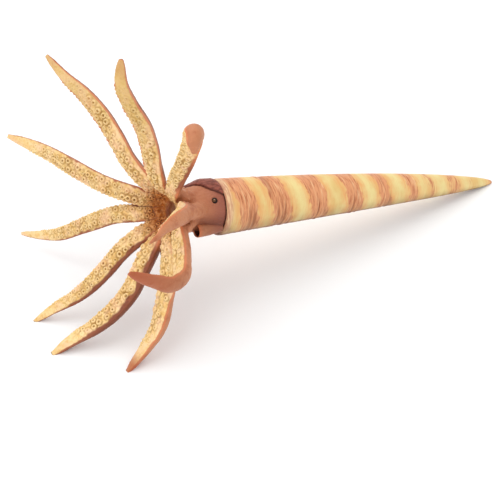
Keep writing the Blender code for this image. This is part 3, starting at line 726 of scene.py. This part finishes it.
class Paint:
    """A material whose colour is laid on in layers over one Principled shader."""

    def __init__(self, name, roughness, specular):
        self.material = bpy.data.materials.new(name)
        self.material.use_nodes = True
        self.tree = self.material.node_tree
        self.shader = self.tree.nodes["Principled BSDF"]
        self.shader.inputs["Roughness"].default_value = roughness
        self.shader.inputs["Specular IOR Level"].default_value = specular
        self.where = self.node("TexCoord").outputs["Object"]

    def node(self, kind, **settings):
        node = self.tree.nodes.new("ShaderNode" + kind)
        for name, value in settings.items():
            setattr(node, name, value)
        return node

    def feed(self, socket, value):
        if isinstance(value, bpy.types.NodeSocket):
            self.tree.links.new(value, socket)
        else:
            socket.default_value = value

    def value(self, name, output="Fac"):
        """A value that the mesh holds for each point."""
        return self.node("Attribute", attribute_name=name).outputs[output]

    def stretched(self, vector, scale):
        node = self.node("VectorMath", operation="MULTIPLY")
        self.feed(node.inputs[0], vector)
        node.inputs[1].default_value = scale
        return node.outputs[0]

    def noise(self, size, detail, rough=0.55, where=None):
        """Noise whose features are about this many millimetres across."""
        node = self.node("TexNoise")
        self.feed(node.inputs["Vector"], where or self.where)
        node.inputs["Scale"].default_value = 1 / (size * (1 if where else MM))
        node.inputs["Detail"].default_value = detail
        node.inputs["Roughness"].default_value = rough
        return node.outputs["Fac"]

    def span(self, value, low, high, least=0.0, most=1.0):
        """The value brought from one range to another, smoothly."""
        node = self.node("MapRange", interpolation_type="SMOOTHSTEP")
        for socket, given in zip(node.inputs, (value, low, high, least, most)):
            self.feed(socket, given)
        return node.outputs[0]

    def math(self, operation, first, second):
        node = self.node("Math", operation=operation, use_clamp=True)
        self.feed(node.inputs[0], first)
        self.feed(node.inputs[1], second)
        return node.outputs[0]

    def times(self, first, second):
        return self.math("MULTIPLY", first, second)

    def over(self, under, colour, amount):
        """The colour laid over what is under it, by an amount."""
        node = self.node("Mix", data_type="RGBA")
        self.feed(node.inputs["Factor"], amount)
        self.feed(node.inputs[6], under)
        self.feed(node.inputs[7], colour)
        return node.outputs[2]

    def coats(self, colour, *coats):
        """Colours laid over one another, each as (colour, the mesh's value, amount)."""
        for top, name, amount in coats:
            colour = self.over(colour, top, self.times(self.value(name), amount))
        return colour

    def finish(self, colour, height=None, depth=0.1, roughness=None):
        """The material, with bumps of this depth in millimetres."""
        self.feed(self.shader.inputs["Base Color"], colour)
        if roughness:
            self.feed(self.shader.inputs["Roughness"], roughness)
        if height:
            node = self.node("Bump")
            node.inputs["Strength"].default_value = 1
            node.inputs["Distance"].default_value = depth * MM
            self.feed(node.inputs["Height"], height)
            self.feed(self.shader.inputs["Normal"], node.outputs[0])
        return self.material


TERRACOTTA = linear(194, 128, 90)
TERRACOTTA_DARK = linear(168, 96, 62)
SALMON = linear(228, 150, 106)
ORANGE = linear(230, 136, 90)
CREAM = linear(246, 212, 152)
CREAM_DEEP = linear(234, 190, 118)
CREAM_HIGHLIGHT = linear(254, 228, 176)
OCHRE = linear(208, 168, 84)
BLUSH = linear(250, 206, 168)
WASH_AND_SHADE = linear(160, 116, 54)
DARK_WASH_AND_SHADE = linear(138, 98, 46)
AGED = linear(204, 166, 92)
STAIN = linear(188, 106, 38)
STAIN_DARK = linear(116, 60, 24)
MOUTH = linear(104, 46, 20)
HEAD_BROWN = linear(174, 104, 72)
SHADE_BROWN = linear(106, 52, 36)
TIP_COLOUR = linear(172, 88, 54)
MAUVE = linear(146, 82, 70)
SHADE_UMBER = linear(74, 40, 34)
SHADE = linear(132, 104, 66)
HOOD_BROWN = linear(152, 82, 64)
HOOD_DARK = linear(110, 54, 42)
HOOD_PALE = linear(186, 116, 92)
SHELL_CREAM = linear(232, 213, 146)
SHELL_TAN = linear(222, 188, 116)
SHELL_STREAK = linear(214, 160, 92)
SHELL_HALO = linear(230, 160, 96)
SHELL_HIGHLIGHT = linear(244, 208, 160)
BAND = linear(222, 152, 106)
BAND_DARK = linear(174, 98, 58)
GROOVE_SHADE = linear(150, 84, 48)
KEEL_SHADE = linear(112, 60, 36)
LIP_ROSE = linear(202, 146, 114)
LIP_PALE = linear(232, 194, 148)
EYE_BLACK = linear(30, 16, 12)
EYE_BROWN = linear(78, 44, 32)
IRIS = linear(104, 70, 44)
GLINT = linear(226, 206, 180)


def skin_paint():
    paint = Paint("painted_skin", 0.5, 0.28)
    mottle = paint.noise(5.5, 4)
    fine = paint.noise(0.9, 3)
    back = paint.over(TERRACOTTA, TERRACOTTA_DARK, paint.span(mottle, 0.48, 0.75))
    back = paint.over(back, SALMON, paint.span(fine, 0.55, 0.8, 0, 0.4))
    # the back's colour, with painted shade on the undersides, the arms' backs and the recesses
    back = paint.coats(back, (ORANGE, "beside", 0.7), (HEAD_BROWN, "neck", 0.6), (MAUVE, "rear", 0.75),
                       (SHADE_BROWN, "low", 0.85), (SHADE_BROWN, "back_shade", 0.85), (TERRACOTTA_DARK, "cavity", 0.5))
    cream = paint.over(CREAM, CREAM_DEEP, paint.span(paint.noise(2.6, 4), 0.42, 0.68))
    # painted highlight on the suckers' raised rings
    cream = paint.coats(cream, (CREAM_HIGHLIGHT, "ring", 0.4))
    # brown wash and painted shade in the recesses
    cream = paint.over(cream, WASH_AND_SHADE, paint.times(paint.value("cavity"), paint.span(mottle, 0.3, 0.65, 0.5, 1)))
    cream = paint.over(cream, OCHRE, paint.span(paint.noise(1.7, 3, 0.6), 0.5, 0.72, 0, 0.7))
    cream = paint.over(cream, BLUSH, paint.span(paint.noise(6, 3), 0.46, 0.66, 0, 0.55))
    # aged ochre, and brown wash with painted shade in the suckers' pits
    cream = paint.coats(cream, (AGED, "aged", 1), (DARK_WASH_AND_SHADE, "pit", 0.5))
    worn = paint.math("ADD", paint.span(fine, 0.3, 0.75, 0.75, 1), paint.value("cavity"))
    # the rust round the mouth, darker in the recesses as painted shade
    rust = paint.over(STAIN, STAIN_DARK, paint.value("cavity"))
    cream = paint.over(cream, rust, paint.times(paint.value("stain"), worn))
    # the mouth and throat, the dark tips, and painted shade in the clefts and in the gap at the shell's lip
    colour = paint.coats(paint.over(back, cream, paint.value("face")), (MOUTH, "mouth", 0.9),
                         (STAIN_DARK, "throat", 0.8), (TIP_COLOUR, "tip", 0.85), (MOUTH, "shaded_cleft", 0.75),
                         (SHADE_UMBER, "collar", 1))
    return paint.finish(colour, paint.noise(0.45, 2), 0.05, paint.span(mottle, 0.3, 0.7, 0.4, 0.54))


def hood_paint():
    paint = Paint("painted_hood", 0.5, 0.28)
    flow = paint.stretched(paint.value("flow", "Vector"), (0.22, 1, 1))
    streaks = paint.noise(0.8, 4, 0.6, flow)
    colour = paint.over(HOOD_BROWN, HOOD_DARK, paint.span(streaks, 0.38, 0.66))
    colour = paint.over(colour, HOOD_PALE, paint.span(paint.noise(0.5, 3), 0.6, 0.8, 0, 0.45))
    # painted shade along the hood's sunk edges
    colour = paint.coats(colour, (SHADE_UMBER, "edge", 0.7))
    return paint.finish(colour, streaks, 0.12, paint.span(streaks, 0.3, 0.7, 0.42, 0.56))


def shell_paint():
    paint = Paint("painted_shell", 0.46, 0.35)
    flow = paint.value("flow", "Vector")
    lines = paint.noise(0.55, 4, 0.6, paint.stretched(flow, (1, 0.12, 0.12)))
    broad = paint.noise(7, 3, 0.5, paint.stretched(flow, (1, 0.5, 0.5)))
    highlight_streaks = paint.noise(0.8, 3, 0.55, paint.stretched(flow, (1, 0.09, 0.09)))
    cream = paint.over(SHELL_CREAM, SHELL_TAN, paint.span(broad, 0.4, 0.7))
    cream = paint.over(cream, SHELL_STREAK, paint.span(lines, 0.55, 0.8, 0, 0.5))
    halo = paint.times(paint.value("halo"), paint.span(lines, 0.25, 0.7, 0.35, 1))
    cream = paint.over(cream, SHELL_HALO, halo)
    band = paint.over(BAND, BAND_DARK, paint.span(lines, 0.44, 0.72))
    brushed = paint.math("ADD", paint.value("band"), paint.span(lines, 0.35, 0.72, -0.28, 0.28))
    colour = paint.over(cream, band, paint.span(brushed, 0.24, 0.84))
    # painted highlight streaks along the growth lines of the bands, then painted shade in the grooves
    worn = paint.times(paint.value("band"), paint.span(highlight_streaks, 0.56, 0.74, 0, 0.6))
    colour = paint.coats(paint.over(colour, SHELL_HIGHLIGHT, worn), (GROOVE_SHADE, "groove", 0.8))
    lip = paint.over(LIP_ROSE, LIP_PALE, paint.span(lines, 0.42, 0.6))
    colour = paint.over(colour, lip, paint.value("rim"))
    below = paint.times(paint.value("below"), paint.span(broad, 0.3, 0.7, 0.3, 0.6))
    colour = paint.over(colour, SHADE, below)
    # painted shade along the lower edge and inside the mouth
    colour = paint.coats(colour, (KEEL_SHADE, "keel", 0.85), (SHADE_UMBER, "inside", 1))
    return paint.finish(colour, lines, 0.06, paint.span(lines, 0.3, 0.7, 0.4, 0.5))


def eye_paint():
    paint = Paint("glossy_eye", 0.3, 0.15)
    colour = paint.coats(EYE_BLACK, (EYE_BROWN, "edge", 1), (IRIS, "iris", 1), (GLINT, "glint", 1))
    return paint.finish(colour)


skin_look, hood_look, shell_look, eye_look = skin_paint(), hood_paint(), shell_paint(), eye_paint()


def piece(item, node, look):
    """A finished piece that stands for a node of the solids."""
    item.data.materials.append(look)
    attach(item, "root")
    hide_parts(node)


# --- the skin, cut into the head and the arms
owner = np.where(is_head, -1, nearest)
face_owner = np.median(owner[quads], axis=1).round().astype(int)
face_owner = np.where((owner[quads] == -1).sum(1) >= 2, -1, face_owner)
for i, name in enumerate(["head", *arms], -1):
    chosen = quads[face_owner == i]
    used, remade = np.unique(chosen, return_inverse=True)
    item = make_object("skin_" + name, points[used], remade.reshape(-1, 4).tolist())
    item.data.normals_split_custom_set_from_vertices(normals[used].tolist())
    store(item, **{key: value[used] for key, value in values.items()})
    piece(item, name, skin_look)

# --- hood: a cap over the back of the head, wrinkled lengthwise, its edges sunk into the skin
over, under, edge_value, flow_value = [], [], [], []
across = np.linspace(-1, 1, HOOD_COLUMNS + 1)
for part in np.arange(HOOD_ROWS + 1) / HOOD_ROWS:
    forward = HOOD_START + (HOOD_END - HOOD_START) * part
    angles = DORSAL + hood_reach(forward) * across
    thick = HOOD_RISE + np.interp(forward, *zip(*HOOD_THICKNESS)) * (1 - 0.82 * np.abs(across) ** 3.2)
    end_soft = min(1, (1 - part) / HOOD_ROUNDING) ** 0.5
    sides_soft = np.clip((1 - np.abs(across)) / HOOD_ROUNDING, 0, 1) ** 0.5
    wrinkle = layered(arc(forward * 0.4, HEAD_RADIUS, angles) * 1.5, 51, 3) - 0.5
    radius = head_radius(forward) - HOOD_SUNK + (thick + HOOD_SUNK) * end_soft * sides_soft
    over.append(arc(SHELL_LENGTH + forward, radius + HOOD_WRINKLES * wrinkle, angles))
    under.append(arc(SHELL_LENGTH + forward, head_radius(forward) - HOOD_UNDERSIDE, angles)[::-1])
    # painted shade along the hood's sunk edges and on its hidden underside
    edge_value += [*(1 - smoothstep(np.minimum(sides_soft, end_soft), 0.55, 1)), *np.ones(HOOD_COLUMNS + 1)]
    flow_value += [*over[-1], *under[-1]]
hood_points, hood_faces = tube([np.vstack(pair) for pair in zip(over, under)])
hood = make_object("hood_cap", in_part(hood_points), hood_faces)
store(hood, edge=np.array([*edge_value, 1, 1]), flow=np.vstack([flow_value, hood_points[-2:]]))
piece(hood, "hood", hood_look)


# --- funnel: a short tube with a rounded lip and a dark bore
def funnel_outline(length):
    """(Along, radius) up the outside, over the lip and down the bore."""
    outer, inner = (np.linspace(0.15, math.pi / 2, count) for count in (6, 5))
    body = [(along, FUNNEL_RADIUS * (0.85 + 0.15 * min(along / (length / 2), 1)))
            for along in np.linspace(0.1, length - FUNNEL_LIP, 30)]
    lip = [(length - FUNNEL_LIP + FUNNEL_LIP * math.sin(a), FUNNEL_RADIUS - FUNNEL_WALL * (1 - math.cos(a)))
           for a in outer]
    lip += [(length - FUNNEL_INNER_LIP + FUNNEL_INNER_LIP * math.cos(a),
             FUNNEL_BORE + FUNNEL_WALL - FUNNEL_WALL * math.sin(a)) for a in inner]
    bore = [(length - depth, FUNNEL_BORE * (1 - 0.1 * depth / FUNNEL_DEPTH))
            for depth in np.linspace(0.6, FUNNEL_DEPTH, FUNNEL_BORE_RINGS)]
    return body + lip + bore


funnel_start, funnel_end = (
    round_axis(SHELL_LENGTH + forward, out, FUNNEL_ANGLE)
    for forward, out in zip((FUNNEL_START, FUNNEL_END), FUNNEL_OUT)
)
funnel_way = funnel_end - funnel_start
funnel_length = np.linalg.norm(funnel_way)
outline = funnel_outline(funnel_length)
funnel_points, funnel_faces = tube([
    funnel_start + flat_ring(FUNNEL_SIDES, radius, along_tube) @ turn_to(funnel_way).T
    for along_tube, radius in outline
])
hollow = np.repeat(np.arange(len(outline)) >= len(outline) - FUNNEL_BORE_RINGS, FUNNEL_SIDES).astype(float)
hollow = np.append(hollow, [0, 1])
wobble = (layered(funnel_points * np.array([0.5, 1.4, 1.4]), 61, 3) - 0.5) * 0.3 * (1 - hollow)
part = (funnel_points - funnel_start) @ funnel_way / funnel_length**2
spread = funnel_points - (funnel_start + np.outer(part, funnel_way))
spread /= np.maximum(np.linalg.norm(spread, axis=1), 1e-6)[:, None]
wobbled = funnel_points + spread * (wobble[:, None] - 0.06)
funnel = make_object("funnel_tube", in_part(wobbled), funnel_faces)
funnel_share = (funnel_points[:, 0] - SHELL_LENGTH - FUNNEL_START) / (FUNNEL_END - FUNNEL_START)
# the funnel: mauve and painted shade where it meets the head, painted shade that lessens towards its end, a
# dark bore of painted shade
store(funnel, rear=(1 - smoothstep(funnel_share, 0.1, 0.7)) * 0.8, collar=hollow,
      low=0.5 - 0.3 * smoothstep(funnel_share, 0.6, 1),
      beside=smoothstep(funnel_share, 0.8, 1) * (1 - hollow))
piece(funnel, "funnel", skin_look)

# --- eyes: glossy balls with a brown edge and iris and a painted glint, flattened a little outward
EYE_LIGHT = np.array([0.12, 0, 0.3])  # from the middle of the gaze to the painted glint
for name, place in eye_places.items():
    out = place - in_part(round_axis(SHELL_LENGTH + EYE_ALONG, 0, 0)[None])[0]
    out /= np.linalg.norm(out)
    rings = []
    for angle in np.linspace(0.03, math.pi - 0.03, EYE_RINGS):
        bulge = EYE_FLATNESS if angle < math.pi / 2 else 1
        ball = flat_ring(EYE_SIDES, np.sin(angle), np.cos(angle) * bulge)
        rings.append(place + EYE_RADIUS * ball @ turn_to(out).T)
    eye_points, eye_faces = tube(rings[::-1])
    eye = make_object(name + "_ball", eye_points, eye_faces)

    def towards(way):
        return (eye_points - place) @ way / np.linalg.norm(way) / EYE_RADIUS

    gaze = out + EYE_TURN * LAY[:3, 0]
    lean, shine = towards(gaze), towards(gaze + EYE_LIGHT)
    store(eye, edge=1 - smoothstep(lean, 0.4, 0.6), glint=smoothstep(shine, 0.95, 0.975),
          iris=smoothstep(lean, 0.84, 0.89) * (1 - smoothstep(lean, 0.955, 0.975)))
    piece(eye, name, eye_look)

# --- shell
run = np.linspace(0, 1, SHELL_STATIONS) ** SHELL_SPACING
outline = [(SHELL_START, SHELL_START_RADIUS)]
outline += [(s, SHELL_RADIUS * (s / SHELL_LENGTH) ** SHELL_POWER)
            for s in SHELL_START + (SHELL_LENGTH - SHELL_START) * run]
outline += [(SHELL_LENGTH + along, radius) for along, radius in LIP]
outline += [(SHELL_LENGTH - depth, LIP[-1][1]) for depth in np.linspace(0, MOUTH_DEPTH, MOUTH_RINGS)]
shell_points, shell_faces = tube(turned(outline, SHELL_SIDES))
s = shell_points[:, 0]
radius = np.hypot(shell_points[:, 1], shell_points[:, 2])
phi = np.arctan2(shell_points[:, 1], shell_points[:, 2])
lean = radius * np.cos(phi - BAND_LEAN_ANGLE)
inside_mouth = np.repeat(np.arange(len(outline)) >= len(outline) - MOUTH_RINGS - 1, SHELL_SIDES)
inside_mouth = np.append(inside_mouth.astype(float), [0, 1])
skin_side = (inside_mouth == 0) & (s > 0.9)
ridged = s - RIDGE_LEAN * lean
flow = np.stack([ridged, shell_points[:, 1], shell_points[:, 2]], 1)
fine_lines = layered(flow * np.array([2.4, 0.12, 0.12]), 71, 3) - 0.5
coarse_lines = layered(flow * np.array([0.95, 0.07, 0.07]), 74, 2) - 0.5
strong = smoothstep(s, 80, 112)
facing = phi - SIDE_SHOWN
lower_side = smoothstep(facing, -0.1, 0.5) * (1 - smoothstep(facing, 1.5, 2.2))
cut = np.zeros(len(s))
for centre, half, lower_only in CUTS:
    here = np.exp(-(((s - BAND_LEAN * lean - centre) / half) ** 4))
    cut = np.maximum(cut, here * (lower_side if lower_only else 0.55 + 0.45 * lower_side))
relief = fine_lines * (0.1 + 0.1 * strong) + coarse_lines * (0.1 + 0.9 * cut)
relief *= smoothstep(s, 1, 12) * (1 - smoothstep(s, SHELL_LENGTH - 0.6, SHELL_LENGTH + 0.4)) * skin_side
scaled = 1 + np.where(skin_side, (relief - 0.12 * smoothstep(s, 0, 20)) / np.maximum(radius, 0.3), 0)
shell_points[:, 1:] *= scaled[:, None]
brush = (layered(flow * np.array([0.35, 0.5, 0.5]), 80, 3) - 0.5) * 2.4
banded = s - BAND_LEAN * lean + brush
band = np.zeros(len(s))
halo = np.zeros(len(s))
for low_end, high_end, strength in BANDS:
    begun, ended = (smoothstep(banded, end - BAND_EDGE, end + BAND_EDGE) for end in (low_end, high_end))
    band = np.maximum(band, strength * (begun - ended))
    off = np.maximum(np.maximum(low_end - banded, banded - high_end), 0)
    halo = np.maximum(halo, strength * np.exp(-((off / BAND_HALO) ** 2)))
# painted shade in the deeper growth-line grooves
groove = np.clip(-(fine_lines * 0.6 + coarse_lines * 1.6) * 3.4, 0, 1) * skin_side * cut
rim = smoothstep(s + brush * 0.5, SHELL_LENGTH - 2.2, SHELL_LENGTH - 0.2)
way = np.clip(s / SHELL_LENGTH, 0, 1)
shell_points[:, 2] += SHELL_TIP_RISE * (1 - way) + SHELL_BOW * 4 * way * (1 - way)
shell = make_object("shell_cone", np.clip(in_part(shell_points), low, high), shell_faces)
# painted shade on the shell's underside, darker along its lower edge, and inside its mouth
store(shell, band=band, halo=halo, groove=groove, rim=rim, inside=inside_mouth, flow=flow,
      below=smoothstep(facing, 0.35, 1.2) * (1 - smoothstep(facing, 2.2, 2.8)),
      keel=smoothstep(facing, 1.1, 1.4) * (1 - smoothstep(facing, 1.9, 2.6)))
piece(shell, "shell", shell_look)

# --- floor, light and camera
FLOOR_HALF = 3000
FLOOR_COLOUR = (0.95, 0.96, 0.965, 1)
WORLD_STRENGTH = 0.91
LIGHTS = {
    # name: (place, target, power in watts, size in metres)
    "key": ((-150, 350, 900), (-10, 0, 10), 3.9, 1.1),
    "fill": ((-600, -350, 500), (-10, 0, 20), 1.0, 0.7),
}
CAMERA_PLACE, CAMERA_TARGET = (-200.85, -384.06, 371.32), (-9.12, -1.40, -0.75)
CAMERA_ANGLE = math.radians(20)

corners = np.array([(-1, -1, 0), (1, -1, 0), (1, 1, 0), (-1, 1, 0)]) * FLOOR_HALF
floor = make_object("floor", corners, [(0, 1, 2, 3)], smooth=False)
floor.data.materials.append(Paint("pale_floor", 0.7, 0.2).finish(FLOOR_COLOUR))

world = bpy.data.worlds.new("studio")
bpy.context.scene.world = world
world.use_nodes = True
background = world.node_tree.nodes["Background"]
background.inputs["Color"].default_value = (1, 1, 1, 1)
background.inputs["Strength"].default_value = WORLD_STRENGTH
bpy.context.scene.view_settings.view_transform = "Standard"


def aim(item, place, target):
    item.location = Vector(place) * MM
    item.rotation_euler = (Vector(target) - Vector(place)).to_track_quat("-Z", "Y").to_euler()
    bpy.context.scene.collection.objects.link(item)


for name, (place, target, power, size) in LIGHTS.items():
    light = bpy.data.lights.new(name, "AREA")
    light.energy = power
    light.shape = "SQUARE"
    light.size = size
    aim(bpy.data.objects.new(name, light), place, target)

camera_data = bpy.data.cameras.new("camera")
camera_data.sensor_fit = "HORIZONTAL"
camera_data.angle = CAMERA_ANGLE
camera = bpy.data.objects.new("camera", camera_data)
aim(camera, CAMERA_PLACE, CAMERA_TARGET)
bpy.context.scene.camera = camera

bpy.context.view_layer.update()
